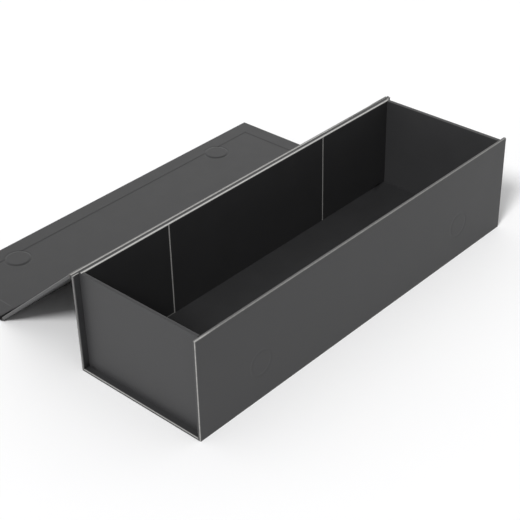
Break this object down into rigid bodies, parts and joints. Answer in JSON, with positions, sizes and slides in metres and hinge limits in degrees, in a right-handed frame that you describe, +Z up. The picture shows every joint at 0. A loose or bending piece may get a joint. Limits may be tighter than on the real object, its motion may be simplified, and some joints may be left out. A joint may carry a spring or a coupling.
{
  "type": "trading card storage box",
  "caption": "Long rigid board box with an open tray in a paper-covered case; its hinged lid folds over the back and ends in a magnetic front flap. Holds cards in rigid sleeves on edge.",
  "frame": {"origin": "middle of the box's underside, on the surface that it stands on", "axes": "+X along the box, to the right as seen from the front; +Y from the front panel to the lid's hinge at the back; +Z up"},
  "size_m": [0.376, 0.3038, 0.088],
  "materials": {
    "covering_paper": "matt black soft-touch covering paper",
    "lining_paper": "matt black uncoated lining paper",
    "greyboard": "raw solid greyboard",
    "gummed_tape": "brown gummed paper tape",
    "magnet": "nickel-plated disc magnet",
    "steel_disc": "plain punched steel"
  },
  "bodies": {
    "box": {"front_board": "greyboard", "front_paper": "covering_paper", "bottom_board": "greyboard", "bottom_paper": "covering_paper", "back_board": "greyboard", "back_paper": "covering_paper", "back_edge_liner": "lining_paper", "left_front_disc": "steel_disc", "right_front_disc": "steel_disc", "tray_floor_board": "greyboard", "tray_front_board": "greyboard", "tray_back_board": "greyboard", "tray_left_board": "greyboard", "tray_right_board": "greyboard", "left_front_corner_tape": "gummed_tape", "left_back_corner_tape": "gummed_tape", "right_front_corner_tape": "gummed_tape", "right_back_corner_tape": "gummed_tape", "left_end_paper": "covering_paper", "right_end_paper": "covering_paper", "front_lining": "lining_paper", "back_left_lining": "lining_paper", "back_right_lining": "lining_paper", "floor_lining": "lining_paper"},
    "lid": {"lid_board": "greyboard", "lid_paper": "covering_paper", "lid_liner": "lining_paper", "lid_hinge_paper": "covering_paper"},
    "flap": {"flap_board": "greyboard", "flap_paper": "covering_paper", "flap_liner": "lining_paper", "left_flap_magnet": "magnet", "right_flap_magnet": "magnet", "flap_hinge_paper": "covering_paper"}
  },
  "joints": [
    {"name": "lid_hinge", "type": "hinge", "parent": "box", "child": "lid", "pos_m": [0, 0.064, 0.088], "axis": [1, 0, 0], "range_deg": [0, 221.29], "deforming": ["lid_hinge_paper"]},
    {"name": "flap_hinge", "type": "hinge", "parent": "lid", "child": "flap", "pos_m": [0, 0.15933, 0], "axis": [1, 0, 0], "range_deg": [-41.29, 48.7], "deforming": ["flap_hinge_paper"]}
  ]
}
